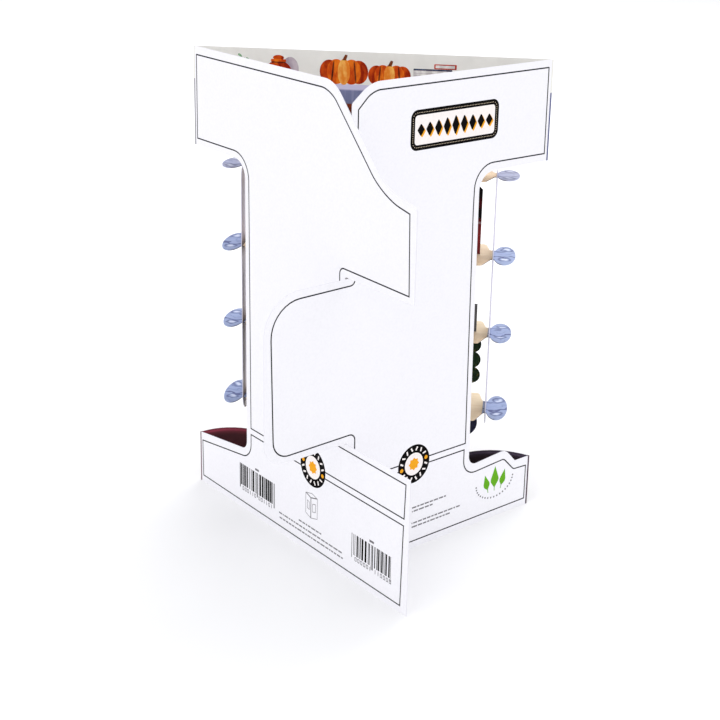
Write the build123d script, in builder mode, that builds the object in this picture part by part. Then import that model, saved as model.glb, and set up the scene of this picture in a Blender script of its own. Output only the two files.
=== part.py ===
from build123d import *
from math import acos, cos, degrees, radians, sin
import os

# Stand-up greeting card, die-cut from thin card stock, with shelves across its front.
# A front panel and two back panels stand as a triangle. The back panels cross and
# hook into each other: the right one's tab goes through the left one's slot.
# Millimetres and degrees. +Z is up, the display front looks along +Y, and the
# origin is on the ground below the middle of the whole card.

# Card stock
stock = 0.4  # thickness of every sheet
play = 0.1  # gap all round where one sheet passes another
fold_bulge = 0.1  # how far the bead of a crease stands out of the sheet

# Folded sheet: overall
card_width = 168.0  # front panel, from fold to fold
card_height = 225.0
band_drop = 47.3  # height of the top bands, which the two folds run through

# Back panels. Lengths along a panel start at its own fold.
crossing_left = 122.5  # from the left fold to the upright line where the panels cross
crossing_right = 119.2  # from the right fold to the same line
stem_left = 43.3  # from the left fold to the stem beside the side notch
stem_right_foot = 42.3  # the right stem leans: from its fold to the foot of the stem
stem_right_head = 43.9  # and to its head at the top band
stem_round = 8.5  # inner corner between a top band and its stem
base_round = 5.0  # inner corner between a base band and its stem

# Where the back panels hook into each other
nest_drop = 82.95  # from the top edge down to where the upper finger meets the tab
nest_bottom = 65.15  # height at which the tab meets the base finger
nest_play = 0.3  # free height between the tab and each finger
slot_spare = 2.2  # how far the left panel's slot is cut past the crossing line
slot_root_round = 0.8
hook_length = 44.6  # how far the tab and the fingers reach past the crossing line

# Left panel
base_left = 27.2  # height of the base band at the fold
base_left_rise = 6.1  # from there up to the stem
finger_setback = 0.6  # by which the upper finger falls short of the hook length
finger_end = 40.0  # height of its blunt end
finger_tip_round = 1.2
base_finger_extra = 0.7  # by which the base finger exceeds the hook length
elbow_run = 20.1  # upper edge of the finger, from its end to the sloping edge
elbow_rise = 4.3
elbow_round = 22.0
shoulder_left = 12.0  # from the crossing line back to the top of the sloping edge
shoulder_round = 16.0

# Right panel
base_right = 26.5
step_start = 10.0  # the base band's upper edge is level from the fold to here
step_run = 7.2  # then it climbs a step
step_rise = 7.8
step_round = 6.8
step_fall = 1.9  # and falls again on the way to the stem
tab_top_round = 18.0
tab_bottom_round = 11.0
shoulder_right = 10.4
cheek_drop = 8.0  # how far the sloping edge falls before the panel's upright edge
cheek_round = 2.0

# Shelves
bottom_shelf_lift = 23.8  # from the left base band's end at the fold up to the first shelf
top_shelf_drop = 8.2  # from the top band down to the last shelf
half_depth = 17.8  # of the first and third shelves
neck_half = 7.4  # half width of a neck, where the shelf passes a side wall
lobe_half = 15.3  # half width of the lobe outside the wall
second_half_depth = 16.0
second_neck_half = 6.6
second_lobe_half = 13.9
top_half_depth = 14.6
top_neck_half = 4.2
top_lobe_half = 10.8
shelf_round = 2.0
flare = 3.9  # length over which a shelf narrows to its neck behind the front panel
neck_length = 2.0
front_flare = 2.1  # the same on the display side, where the root is rounded
front_neck = 1.9  # from a side wall in to that root
root_round = 2.0
lobe_length = 10.65
spine_half = 10.0  # half of the front panel's uncut width between its shelf cuts

# Side walls
left_wall_inset = 24.0  # from the left fold in to the left wall
right_wall_inset = 22.8
wall_rim = 1.5  # card left beside the widest slit
wall_over = 2.8  # above the last shelf
wall_under = 7.7  # below the first shelf

# Front panel. The insets start at a side wall and run in to the panel's edge.
body_inset = 11.2
wing_inset = 6.4  # wider stretches of the body above the second and third shelves
upper_wing_height = 34.0
lower_wing_height = 14.5
wing_chamfer = 1.8
leaf_inset = 3.6  # rounded leaves below the second shelf
leaf_radius = 4.3
leaf_count = 3
leaf_spacing = 8.0
leaf_drop = 6.5  # from the shelf down to the first leaf's centre
bowl_inset = 3.9  # rounded bowl below the first shelf
bowl_radius = 7.8
bowl_drop = 8.5
arch_left_run = 15.0  # from the fold to the crest of the base band's arched edge
arch_left_rise = 3.5
arch_left_end = 1.4  # height of the arch's inner end over its end at the fold
arch_right_run = 11.0
arch_right_rise = 1.6
arch_right_end = -1.5

# The triangle of the three panels, seen from above
left_angle = degrees(
    acos((card_width**2 + crossing_left**2 - crossing_right**2) / (2 * card_width * crossing_left))
)
right_angle = degrees(
    acos((card_width**2 + crossing_right**2 - crossing_left**2) / (2 * card_width * crossing_right))
)
finger_reach = crossing_left + hook_length - finger_setback
base_reach = crossing_left + hook_length + base_finger_extra
tab_reach = crossing_right + hook_length
left_back = base_reach * sin(radians(left_angle)) + stock / 2 * cos(radians(left_angle))
right_back = tab_reach * sin(radians(right_angle)) + stock / 2 * cos(radians(right_angle))
front_y = (max(left_back, right_back) - max(half_depth, second_half_depth, top_half_depth)) / 2

# Heights shared by several pieces
band_bottom = card_height - band_drop
nest_top = card_height - nest_drop
finger_bottom = nest_top + nest_play / 2
tab_top = nest_top - nest_play / 2
tab_bottom = nest_bottom + nest_play / 2
base_finger_top = nest_bottom - nest_play / 2
first_shelf = base_left + bottom_shelf_lift
last_shelf = band_bottom - top_shelf_drop

# Shelves from the bottom up: half depth, half width of neck and of lobe
shelf_shapes = [
    (half_depth, neck_half, lobe_half),
    (second_half_depth, second_neck_half, second_lobe_half),
    (half_depth, neck_half, lobe_half),
    (top_half_depth, top_neck_half, top_lobe_half),
]
shelf_count = len(shelf_shapes)
shelf_spacing = (last_shelf - first_shelf) / (shelf_count - 1)
shelf_heights = [first_shelf + i * shelf_spacing for i in range(shelf_count)]
second_shelf = shelf_heights[1]
third_shelf = shelf_heights[2]

# Places across the card that the shelves, side walls and front panel share. They
# lie evenly about the middle between the side walls.
middle_x = (left_wall_inset - right_wall_inset) / 2
wall_half = (card_width - left_wall_inset - right_wall_inset) / 2
shelf_half = wall_half - neck_length / 2 - flare
body_half = wall_half - body_inset
wing_half = wall_half - wing_inset
cut_height = stock + 2 * play  # of a cut that takes a crossing sheet

# Each panel stands on a plane of its own: x runs along the panel, y runs up.
left_fold = Vector(-card_width / 2, front_y, 0)
right_fold = Vector(card_width / 2, front_y, 0)
front_plane = Plane(origin=(0, front_y, 0), x_dir=(1, 0, 0), z_dir=(0, -1, 0))
left_plane = Plane(
    origin=left_fold,
    x_dir=Vector(1, 0, 0).rotate(Axis.Z, -left_angle),
    z_dir=Vector(0, -1, 0).rotate(Axis.Z, -left_angle),
)
right_plane = Plane(
    origin=right_fold,
    x_dir=Vector(-1, 0, 0).rotate(Axis.Z, right_angle),
    z_dir=Vector(0, 1, 0).rotate(Axis.Z, right_angle),
)


def corner(outline, place):
    """The corner of a drawn outline that stands at the given place."""
    return outline.vertices().sort_by_distance(place)[0]


def finish(piece, name):
    """Name a finished piece and write it."""
    piece.part.label = name
    export_step(piece.part, f"parts/{name}.step")


os.makedirs("parts", exist_ok=True)

# Folded sheet
with BuildPart() as folded_card:
    # Front panel: top band, body and arched base band, with the body's rounded shapes
    with BuildSketch(front_plane) as front:
        with Locations((0, band_bottom)):
            Rectangle(card_width, band_drop, align=(Align.CENTER, Align.MIN))
        with Locations((middle_x, 0)):
            Rectangle(2 * body_half, card_height, align=(Align.CENTER, Align.MIN))
        for side, fold_height, run, rise, end in (
            (-1, base_left, arch_left_run, arch_left_rise, arch_left_end),
            (1, base_right, arch_right_run, arch_right_rise, arch_right_end),
        ):
            fold_end = (side * card_width / 2, fold_height)
            crest = (side * (card_width / 2 - run), fold_height + rise)
            body_x = middle_x + side * body_half
            body_end = (body_x, fold_height + end)
            with BuildLine():
                ThreePointArc(fold_end, crest, body_end)
                Polyline(body_end, (body_x, 0), (side * card_width / 2, 0), fold_end)
            make_face()
        with Locations((middle_x, third_shelf)):
            Rectangle(2 * wing_half, upper_wing_height, align=(Align.CENTER, Align.MIN))
        for x in (middle_x - wing_half, middle_x + wing_half):
            chamfer(corner(front, (x, third_shelf + upper_wing_height)), wing_chamfer)
        with Locations((middle_x, second_shelf)):
            Rectangle(2 * wing_half, lower_wing_height, align=(Align.CENTER, Align.MIN))
        leaf_half = wall_half - leaf_inset - leaf_radius
        leaf_run = (leaf_count - 1) * leaf_spacing
        with Locations((middle_x, second_shelf - leaf_drop - leaf_run / 2)):
            Rectangle(2 * leaf_half, leaf_run)
            with GridLocations(2 * leaf_half, leaf_spacing, 2, leaf_count):
                Circle(leaf_radius)
        bowl_half = wall_half - bowl_inset - bowl_radius
        with Locations((middle_x, first_shelf - bowl_drop)):
            with GridLocations(2 * bowl_half, 0, 2, 1):
                Circle(bowl_radius)
    extrude(amount=stock / 2, both=True)

    # Left back panel: its upper finger and base finger reach past the crossing line
    with BuildSketch(left_plane) as left:
        stem_foot = (stem_left, base_left + base_left_rise)
        stem_head = (stem_left, band_bottom)
        slot_root = crossing_left - slot_spare
        finger_tip = (finger_reach, finger_bottom + finger_end)
        elbow = (finger_reach - elbow_run, finger_bottom + finger_end + elbow_rise)
        shoulder = (crossing_left - shoulder_left, card_height)
        with BuildLine():
            Polyline(
                (0, 0),
                (base_reach, 0),
                (base_reach, base_finger_top),
                (slot_root, base_finger_top),
                (slot_root, finger_bottom),
                (finger_reach, finger_bottom),
                finger_tip,
                elbow,
                shoulder,
                (0, card_height),
                (0, band_bottom),
                stem_head,
                stem_foot,
                (0, base_left),
                close=True,
            )
        make_face()
        fillet(corner(left, stem_head), stem_round)
        fillet(corner(left, stem_foot), base_round)
        fillet(corner(left, elbow), elbow_round)
        fillet(corner(left, shoulder), shoulder_round)
        fillet(corner(left, finger_tip), finger_tip_round)
        fillet(corner(left, (base_reach, base_finger_top)), finger_tip_round)
        fillet(corner(left, (slot_root, base_finger_top)), slot_root_round)
        fillet(corner(left, (slot_root, finger_bottom)), slot_root_round)
    extrude(amount=stock / 2, both=True)

    # Right back panel: its tab reaches past the crossing line, between the fingers
    with BuildSketch(right_plane) as right:
        step_top = (step_start + step_run, base_right + step_rise)
        stem_foot = (stem_right_foot, base_right + step_rise - step_fall)
        stem_head = (stem_right_head, band_bottom)
        free_edge = crossing_right - stock / 2 - play
        cheek = (free_edge, card_height - cheek_drop)
        shoulder = (crossing_right - shoulder_right, card_height)
        with BuildLine():
            Polyline(
                (0, 0),
                (free_edge, 0),
                (free_edge, tab_bottom),
                (tab_reach, tab_bottom),
                (tab_reach, tab_top),
                (free_edge, tab_top),
                cheek,
                shoulder,
                (0, card_height),
                (0, band_bottom),
                stem_head,
                stem_foot,
                step_top,
                (step_start, base_right),
                (0, base_right),
                close=True,
            )
        make_face()
        fillet(corner(right, stem_head), stem_round)
        fillet(corner(right, stem_foot), base_round)
        fillet(corner(right, step_top), step_round)
        fillet(corner(right, cheek), cheek_round)
        fillet(corner(right, shoulder), shoulder_round)
        fillet(corner(right, (tab_reach, tab_top)), tab_top_round)
        fillet(corner(right, (tab_reach, tab_bottom)), tab_bottom_round)
    extrude(amount=stock / 2, both=True)

    # Folds: a crease leaves a small bead, in the base band and in the top band
    for fold, fold_height in ((left_fold, base_left), (right_fold, base_right)):
        for start, height in ((0, fold_height), (band_bottom, band_drop)):
            with BuildSketch(Plane(fold + Vector(0, 0, start))):
                Circle(stock / 2 + fold_bulge)
            extrude(amount=height)

    # Cuts that take the shelves, from the spine out through the body's side edges
    cut_length = wall_half - spine_half
    with BuildSketch(front_plane):
        with Locations((middle_x, (first_shelf + last_shelf) / 2)):
            with GridLocations(2 * spine_half + cut_length, shelf_spacing, 2, shelf_count):
                Rectangle(cut_length, cut_height)
    extrude(amount=stock, both=True, mode=Mode.SUBTRACT)
finish(folded_card, "folded_card")

# Side walls: upright strips with round ends and a slit for each shelf's neck
wall_bottom = first_shelf - wall_under
wall_top = last_shelf + wall_over
wall_half_depth = max(neck_half, second_neck_half, top_neck_half) + play + wall_rim
for name, x in (
    ("left_side_wall", middle_x - wall_half),
    ("right_side_wall", middle_x + wall_half),
):
    with BuildPart() as side_wall:
        with BuildSketch(Plane(origin=(x, front_y, 0), x_dir=(0, 1, 0), z_dir=(1, 0, 0))):
            with Locations((0, (wall_bottom + wall_top) / 2)):
                SlotOverall(wall_top - wall_bottom, 2 * wall_half_depth, rotation=90)
            for height, (_, neck, _) in zip(shelf_heights, shelf_shapes):
                with Locations((0, height)):
                    Rectangle(2 * (neck + play), cut_height, mode=Mode.SUBTRACT)
        extrude(amount=stock / 2, both=True)
    finish(side_wall, name)

# Shelves: each has a notch that straddles the spine, a neck at each end for the
# side wall's slit, and a lobe outside it
lobe_centre = wall_half + lobe_length / 2
front_root = wall_half - front_neck
for number, (depth, neck, lobe) in enumerate(shelf_shapes, start=1):
    with BuildPart() as shelf:
        with BuildSketch(Plane((middle_x, front_y, shelf_heights[number - 1]))) as plan:
            with BuildLine():
                Polyline(
                    (0, depth),
                    (front_root - front_flare, depth),
                    (front_root, neck),
                    (lobe_centre, neck),
                    (lobe_centre, -neck),
                    (shelf_half + flare, -neck),
                    (shelf_half, -depth),
                    (0, -depth),
                )
                mirror(about=Plane.YZ)
            make_face()
            shelf_corners = plan.vertices().group_by(Axis.Y)
            fillet(shelf_corners[0] + shelf_corners[-1], shelf_round)
            fillet([corner(plan, (side * front_root, neck)) for side in (-1, 1)], root_round)
            with GridLocations(2 * lobe_centre, 0, 2, 1):
                Ellipse(lobe_length / 2, lobe)
            with Locations((0, stock / 2 + play)):
                Rectangle(
                    2 * (spine_half + play),
                    depth + stock / 2 + play,
                    align=(Align.CENTER, Align.MAX),
                    mode=Mode.SUBTRACT,
                )
        extrude(amount=stock / 2, both=True)
    finish(shelf, f"shelf_{number}")
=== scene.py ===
import math
import random

import bmesh
import bpy
from bpy.props import FloatProperty, FloatVectorProperty, IntProperty, PointerProperty
from mathutils import Matrix, Vector


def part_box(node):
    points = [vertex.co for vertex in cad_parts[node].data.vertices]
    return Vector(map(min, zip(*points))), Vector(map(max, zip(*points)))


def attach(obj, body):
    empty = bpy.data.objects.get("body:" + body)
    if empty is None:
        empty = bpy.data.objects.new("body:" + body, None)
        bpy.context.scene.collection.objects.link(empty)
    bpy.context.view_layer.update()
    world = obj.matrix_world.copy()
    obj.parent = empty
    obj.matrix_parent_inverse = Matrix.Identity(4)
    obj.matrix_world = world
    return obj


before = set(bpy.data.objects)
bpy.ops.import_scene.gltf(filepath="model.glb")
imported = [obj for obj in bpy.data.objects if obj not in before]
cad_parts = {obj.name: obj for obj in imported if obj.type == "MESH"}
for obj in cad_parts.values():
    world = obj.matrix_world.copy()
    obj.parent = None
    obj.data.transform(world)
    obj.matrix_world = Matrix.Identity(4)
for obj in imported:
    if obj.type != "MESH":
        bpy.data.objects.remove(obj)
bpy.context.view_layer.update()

bl_info = {
    "name": "Greeting card",
    "version": (1, 0, 0),
    "blender": (4, 5, 0),
    "location": "3D View > Sidebar > Card",
    "description": "Dresses a stand-up greeting card: printed sheet, side walls, shelves and stage",
    "category": "Object",
}

MM = 0.001
UP = Vector((0, 0, 1))


def tone(red, green, blue):
    """A picture's colour, 0 to 255, as the linear colour that a shader takes."""
    return tuple(
        c / 12.92 if c <= 0.04045 else ((c + 0.055) / 1.055) ** 2.4
        for c in (red / 255, green / 255, blue / 255)
    )


def colour(name, description, red, green, blue):
    return FloatVectorProperty(
        name=name, description=description, subtype="COLOR", size=3, min=0, max=1,
        default=tone(red, green, blue),
    )


def number(name, description, default, **more):
    return FloatProperty(name=name, description=description, default=default, **more)


def length(name, description, millimetres):
    kind = {"subtype": "DISTANCE", "unit": "LENGTH", "precision": 5}
    return number(name, description, millimetres * MM, **kind)


def share(name, description, default):
    return number(name, description, default, subtype="FACTOR", min=0, max=1)


def power(name, description, watts):
    return number(name, description, watts, unit="POWER")


# Places that the frame gives: boxes in metres, and the rest in millimetres
WALLS = [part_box(name) for name in ("left_side_wall", "right_side_wall")]
WALL_X = [(low.x + high.x) / 2 / MM for low, high in WALLS]
MIDDLE_X = sum(WALL_X) / 2
WALL_HALF = (WALL_X[1] - WALL_X[0]) / 2
FRONT_Y = (WALLS[0][0].y + WALLS[0][1].y) / 2 / MM
SHELVES = ["shelf_1", "shelf_2", "shelf_3", "shelf_4"]
SHELF_Z = [(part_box(name)[0].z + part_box(name)[1].z) / 2 / MM for name in SHELVES]

# The front panel's shape where its print follows it, in millimetres
BODY_INSET = 11.2  # from a side wall in to the edge of the panel's body
BASE_TOP = 32.5  # a height between the base band and the first shelf
ARCHES = (
    # side, run from the fold to the crest, heights at the fold, the crest and the inner end
    (-1, 15.0, (27.2, 30.7, 28.6)),
    (1, 11.0, (26.5, 28.1, 25.0)),
)
SKIN = 0.01  # how far from a face a point may lie and still count as on it
JUMP = 0.2  # height over which one field of colour gives way to the next

# Height and colour, 0 to 255, of the front panel from the ground up to the ledge
# Each field darkens up towards the shelf above it: painted shade under that shelf.
FIELDS = (
    # blue, below the first shelf
    (0.0, (48, 50, 75)),
    (SHELF_Z[0] - 12, (48, 50, 75)),
    (SHELF_Z[0], (30, 32, 52)),
    # green
    (SHELF_Z[0] + JUMP, (24, 42, 28)),
    (SHELF_Z[1] - 14, (36, 62, 36)),
    (SHELF_Z[1], (20, 34, 22)),
    # grey
    (SHELF_Z[1] + JUMP, (116, 116, 118)),
    (SHELF_Z[2] - 10, (96, 96, 100)),
    (SHELF_Z[2], (60, 58, 62)),
    # red, a pale line, and dark stripes
    (SHELF_Z[2] + JUMP, (128, 42, 46)),
    (138.0, (152, 50, 52)),
    (145.2, (120, 32, 38)),
    (145.6, (170, 140, 142)),
    (146.1, (170, 140, 142)),
    (146.5, (112, 14, 18)),
    (147.5, (108, 12, 16)),
    (147.9, (6, 4, 6)),
    (152.2, (8, 4, 6)),
    (153.4, (72, 4, 10)),
    (156.4, (80, 2, 10)),
    (158.0, (30, 4, 8)),
    (158.8, (6, 4, 6)),
    (SHELF_Z[3], (6, 6, 7)),
    # brown, above the last shelf
    (SHELF_Z[3] + JUMP, (64, 20, 12)),
    (196.0, (84, 28, 14)),
)
UNDER_LEDGE = (128, 54, 26)

# Grain of the shelves' ends. Runs are shares of an end's length, and levels are shares
# of half the shelf's depth.
BENT_LINES = (
    # level of the line, run and level of the knot beside it, bend round it, darkness
    (0.28, 0.58, 0.52, -0.09, 0.6),
    (-0.12, 0.52, -0.42, 0.09, 0.95),
)
FAINT_LINES = (0.1, -0.74)
KNOT_RUN, KNOT_LEVEL = 0.19, 0.09  # half a knot's length and width
# Painted shade: how much darker the left and the right end of each shelf are, from the bottom up
PAINTED_END_SHADE = ((0.22, 0.13), (0.13, 0.10), (0.21, 0.02), (0.14, 0.0))


class SheetSettings(bpy.types.PropertyGroup):
    """The folded sheet: its card and the fields printed on its front panel."""

    width: length("Width", "Front panel from fold to fold", 168.0)
    height: length("Height", "Front panel from the ground up", 225.0)
    left_run: length("Left run", "From the left fold to where the back panels cross", 122.5)
    right_run: length("Right run", "From the right fold to the same line", 119.2)
    stock: length("Stock", "Thickness of the card", 0.4)
    wrap: length("Wrap", "Reach of the front's print round a fold", 0.85)
    white: colour("White", "Unprinted card", 247, 246, 250)
    # Painted shade: the darker tone of the card's cut edges
    cut: colour("Cut edge", "Where the card is cut", 232, 231, 237)
    fibre: share("Fibre", "How much the card's fibres show", 0.018)
    roughness: share("Roughness", "Roughness of the printed card", 0.55)
    wall: colour("Wall", "Pale ground of the top band", 239, 238, 231)
    ledge: colour("Ledge", "Painted ledge along the top band", 118, 124, 159)
    base_left: colour("Base, left", "Base band, left half", 90, 50, 55)
    base_right: colour("Base, right", "Base band, right half", 50, 38, 43)
    gleam_left: colour("Gleam, left", "Highlight along the base band's left half", 176, 72, 92)
    gleam_right: colour("Gleam, right", "Highlight along its right half", 96, 84, 104)
    fold_left: colour("Fold, left", "Print beside the left fold", 156, 155, 162)
    fold_right: colour("Fold, right", "Print beside the right fold", 104, 107, 144)
    fold_strip: length("Fold strip", "Width of the print beside a fold", 5.0)
    ledge_bottom: length("Ledge bottom", "Height of the ledge's lower edge", 200.4)
    ledge_top: length("Ledge top", "Height of the ledge's upper edge", 209.6)


class WallSettings(bpy.types.PropertyGroup):
    """The two side walls."""

    outer: colour("Outer side", "Side away from the middle", 226, 224, 238)
    inner: colour("Inner side", "Side towards the middle", 224, 224, 238)
    # Painted shade: the dark band of the inner side
    shade: colour("Shade", "Dark band along the inner side", 140, 136, 148)
    # Painted shade round each slit, where a shelf passes through the wall
    slit: colour("Slit", "Stain round a slit", 74, 62, 60)
    foot: colour("Foot", "Pale lower end of the inner side", 248, 247, 250)
    shade_depth: length("Shade depth", "From the front panel back to the dark band", 6.2)
    shade_width: length("Shade width", "Width of the dark band", 2.6)
    # How far the painted shade round a slit reaches
    slit_reach: length("Slit reach", "Reach of a stain above and below its slit", 4.2)


class ShelfSettings(bpy.types.PropertyGroup):
    """The four shelves: tan boards with blue grained ends."""

    tan: colour("Tan", "Board between the side walls", 253, 234, 204)
    top_tan: colour("Top tan", "Board of the top shelf", 248, 223, 190)
    blue: colour("Blue", "Ends outside the side walls", 166, 180, 213)
    lavender: colour("Lavender", "Ends of the top shelf", 190, 193, 218)
    grain: colour("Grain", "Dark grain lines of the ends", 66, 72, 122)
    knot: colour("Knot", "Pale knots of the ends", 232, 238, 254)
    # Painted shade: the dark tone of a shelf's cut edge beside a side wall
    cut: colour("Cut edge", "Edge of the sheet beside a side wall", 78, 72, 92)


class PrintSettings(bpy.types.PropertyGroup):
    """Lines and marks printed on the back panels."""

    line_width: length("Line width", "Width of the printed outlines", 0.62)
    film: length("Film", "Height of a layer of ink", 0.02)
    line: colour("Line", "Printed outlines", 44, 44, 48)
    black: colour("Black", "Borders, rings and bars", 13, 11, 12)
    cream: colour("Cream", "Ground of the plate", 253, 246, 243)
    gold: colour("Gold", "Gold spots and shadows", 246, 170, 40)
    stitch: colour("Stitch", "Stitches along the plate's border", 226, 208, 180)
    grey: colour("Grey", "Fine print and the small drawing", 124, 122, 126)
    green: colour("Green", "Leaves", 104, 174, 40)
    plate_border: length("Plate border", "Width of the plate's border", 2.4)
    ring_radius: length("Ring radius", "Outer radius of a ring mark", 9.7)
    ring_hole: length("Ring hole", "Inner radius of a ring mark", 5.6)
    bar_seed: IntProperty(name="Bar seed", description="Draw of the bars' widths", default=7)


class StageSettings(bpy.types.PropertyGroup):
    """Camera, light and floor."""

    lens: number("Lens", "Focal length", 71.865, subtype="DISTANCE_CAMERA")
    key_power: power("Key", "Power of the key light", 6.2)
    fill_power: power("Fill", "Power of the fill light", 2.8)
    rear_power: power("Rear", "Power of the light on the display side", 12.0)
    lamp_size: length("Lamp size", "Width of each light", 1600.0)
    sky: number("Sky", "Strength of the even light from all sides", 0.935)
    floor: colour("Floor", "Colour of the floor and backdrop", 245, 245, 245)
    floor_glow: number("Floor glow", "White added to the far floor where it is seen", 0.12)
    glow_start: length("Glow start", "From the middle to where that white sets in", 60.0)
    glow_full: length("Glow full", "From the middle to where it is full", 260.0)


def arithmetic(name):
    """A method that joins a signal and its operand in a Math node."""
    return lambda signal, *operand: signal.maths(name, *operand)


class Signal:
    """A shader socket that takes part in Python's arithmetic through Math nodes."""

    __add__ = __radd__ = arithmetic("ADD")
    __sub__ = arithmetic("SUBTRACT")
    __mul__ = __rmul__ = arithmetic("MULTIPLY")
    __truediv__ = arithmetic("DIVIDE")
    __pow__ = arithmetic("POWER")
    __abs__ = arithmetic("ABSOLUTE")
    __gt__ = arithmetic("GREATER_THAN")
    __lt__ = arithmetic("LESS_THAN")
    __or__ = arithmetic("MAXIMUM")
    __and__ = arithmetic("MINIMUM")

    def __init__(self, finish, socket):
        self.finish, self.socket = finish, socket

    def maths(self, operation, *others):
        return self.finish.node(
            "ShaderNodeMath", {"operation": operation}, dict(enumerate((self, *others)))
        )

    def __rsub__(self, other):
        return self.finish.node("ShaderNodeMath", {"operation": "SUBTRACT"}, {0: other, 1: self})

    def rise(self, low, high):
        """Smooth step from 0 at low to 1 at high."""
        return self.finish.node(
            "ShaderNodeMapRange", {"interpolation_type": "SMOOTHSTEP"}, {0: self, 1: low, 2: high}
        )

    def bell(self, centre, width):
        """1 at the centre, 0.37 one width away and 0.1 one and a half."""
        return ((((self - centre) / width) ** 2.0) * -1.0).maths("EXPONENT")


class Nodes:
    """A node tree, and what builds it."""

    def __init__(self, tree):
        self.tree = tree
        tree.nodes.clear()

    def node(self, kind, settings=None, inputs=None, output=0):
        """Add a node: its settings first, then the values or links of its sockets."""
        made = self.tree.nodes.new(kind)
        for key, value in (settings or {}).items():
            setattr(made, key, value)
        for key, value in (inputs or {}).items():
            self.put(made.inputs[key], value)
        return made if output is None else Signal(self, made.outputs[output])

    def put(self, socket, value):
        if isinstance(value, Signal):
            self.tree.links.new(value.socket, socket)
        elif socket.type == "RGBA":
            socket.default_value = (*value[:3], 1)
        else:
            socket.default_value = value

    def ramp(self, place, stops):
        """The colour at a place from 0 to 1, between stops of a place and a colour each."""
        made = self.node("ShaderNodeValToRGB", inputs={0: place}, output=None)
        elements = made.color_ramp.elements
        while len(elements) < len(stops):
            elements.new(0.5)
        for element, (position, shade) in zip(elements, stops):
            element.position = position
            element.color = (*shade, 1)
        return Signal(self, made.outputs[0])

    def mix(self, factor, first, second):
        return self.node(
            "ShaderNodeMix", {"data_type": "RGBA"}, {0: factor, 6: first, 7: second}, output=2
        )

    def where_seen(self, unseen, seen):
        """Two shaders in one. The second is for the rays that show the thing itself, to the
        camera or in a gloss or a glass."""
        camera, glossy, through = (self.node("ShaderNodeLightPath", output=i) for i in (0, 3, 6))
        shown = camera | glossy | through
        return self.node("ShaderNodeMixShader", inputs={0: shown, 1: unseen, 2: seen})


class Finish(Nodes):
    """A material that is built from nodes."""

    def __init__(self, name, roughness, specular=0.12):
        self.material = bpy.data.materials.new(name)
        self.material.use_nodes = True
        super().__init__(self.material.node_tree)
        self.shader = self.node(
            "ShaderNodeBsdfPrincipled",
            inputs={"Roughness": roughness, "Specular IOR Level": specular}, output=None,
        )
        self.surface = Signal(self, self.shader.outputs[0])
        self.output = self.node("ShaderNodeOutputMaterial", inputs={0: self.surface}, output=None)
        scaling = {0: self.node("ShaderNodeTexCoord", output=3), "Scale": 1 / MM}
        self.place = self.node("ShaderNodeVectorMath", {"operation": "SCALE"}, scaling)
        axes = self.node("ShaderNodeSeparateXYZ", inputs={0: self.place}, output=None)
        self.x, self.y, self.z = (Signal(self, socket) for socket in axes.outputs)

    def noise(self, scale, detail=2.0, pace=None):
        """Soft noise. The scale says about how many patches a millimetre has, and the pace
        of each axis, if given, makes the patches long where it is low."""
        place = self.place
        if pace:
            place = self.node("ShaderNodeMapping", inputs={0: place, 3: pace})
        return self.node(
            "ShaderNodeTexNoise", inputs={"Vector": place, "Scale": scale, "Detail": detail}
        )

    def mottled(self, base, amount, scale):
        """The base colour, darker where the noise is high."""
        dark = self.node("ShaderNodeHueSaturation", inputs={"Value": 1 - 2 * amount, "Color": base})
        return self.mix(self.noise(scale, 3.0).rise(0.25, 0.8), base, dark)

    def paper(self, fibre):
        """Fine relief of card: short fibres and a softer unevenness."""
        relief = self.noise(2.6, 4.0) + self.noise(0.5) * 0.6
        bump = self.node(
            "ShaderNodeBump",
            inputs={"Strength": fibre * 4, "Distance": 0.02 * MM, "Height": relief},
        )
        self.put(self.shader.inputs["Normal"], bump)
        base = self.shader.inputs["Roughness"].default_value
        self.put(self.shader.inputs["Roughness"], self.noise(0.8, 3.0) * 0.16 + (base - 0.08))

    def paint(self, shade, fibre=None):
        """Give the shader its colour and card its relief, and hand over the material."""
        if fibre:
            self.paper(fibre)
        self.put(self.shader.inputs["Base Color"], shade)
        return self.material


def settings(name):
    """The scene's group of settings of that name."""
    return getattr(bpy.context.scene, "card_" + name)


def parabola(points):
    """Coefficients of the curve through three points, lowest power first."""
    rows = Matrix([(1, x, x * x) for x, _ in points])
    return rows.inverted() @ Vector([z for _, z in points])


def cut_edges(finish, sheet, depth):
    """1 on the sheet's cut edges: within a panel's thickness and not on a panel's face."""
    half = sheet.stock / 2 / MM
    fold = sheet.width / 2 / MM
    offsets = [depth]
    for side in (-1, 1):
        angle = back_panel_angle(side)
        from_fold = finish.x - side * fold
        offsets.append(from_fold * side * math.sin(angle) - depth * math.cos(angle))
    inside, on_face = 0.0, 0.0
    for offset in offsets:
        inside = (abs(offset) < half - SKIN) | inside
        on_face = (abs(abs(offset) - half) < SKIN) | on_face
    return inside * (1 - on_face)


def shelf_fields(finish, sheet, depth):
    """The fields of colour behind the shelves, from the ground up to the ledge."""
    x, z = finish.x, finish.z
    height = sheet.height / MM
    # The ramp carries the fields' painted shade under each shelf.
    levels = (*FIELDS, (sheet.ledge_bottom / MM, UNDER_LEDGE))
    stops = [(level / height, tone(*shade)) for level, shade in levels]
    body = finish.mottled(finish.ramp(z / height, stops), 0.1, 0.35)

    # Olive flecks on the green field
    flecks = finish.noise(0.55, 2.0).rise(0.56, 0.66) & z.rise(SHELF_Z[0], SHELF_Z[0] + 6)
    flecks = flecks & (1 - z.rise(SHELF_Z[1] - 12, SHELF_Z[1] - 6))
    body = finish.mix(flecks * 0.8, body, tone(96, 92, 40))

    # The grey field fades to pale inside, where it is seen through the slot of the hook.
    behind_hook = (depth < 0.0) * (z > SHELF_Z[1] + JUMP) * (z < SHELF_Z[2])
    middle = 1 - abs(x).rise(18.0, 44.0)
    return finish.mix(middle * behind_hook, body, tone(244, 243, 247))


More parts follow.
